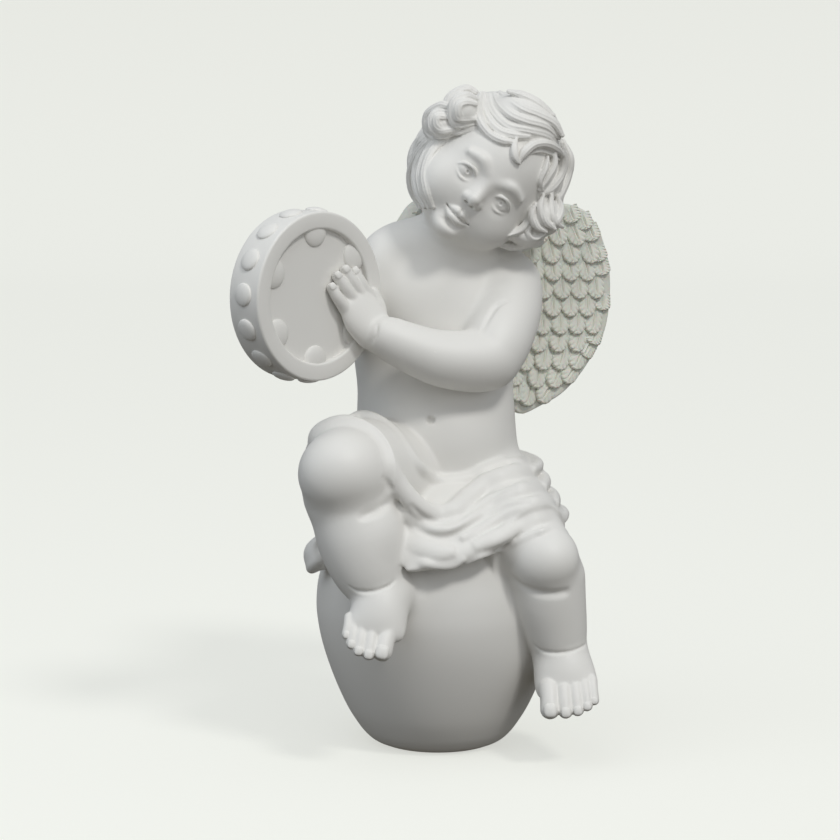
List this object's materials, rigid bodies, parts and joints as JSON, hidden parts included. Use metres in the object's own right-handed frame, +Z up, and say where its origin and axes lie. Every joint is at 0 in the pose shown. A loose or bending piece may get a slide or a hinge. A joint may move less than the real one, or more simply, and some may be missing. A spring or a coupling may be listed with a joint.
{
  "type": "stone putto statue",
  "caption": "Seated winged putto with a loincloth, clapping a tambourine, carved in one with the rounded boulder it sits on.",
  "frame": {"origin": "centre of the boulder's flat underside, on the ground", "axes": "+Z up the figure, -Y out of the figure's front, +X to a viewer's right"},
  "size_m": [0.4434, 0.4226, 0.779],
  "materials": {
    "marble": "satin, honed white marble with a faint warm dust in the hollows"
  },
  "bodies": {
    "root": {"putto_statue": "marble"}
  },
  "joints": []
}
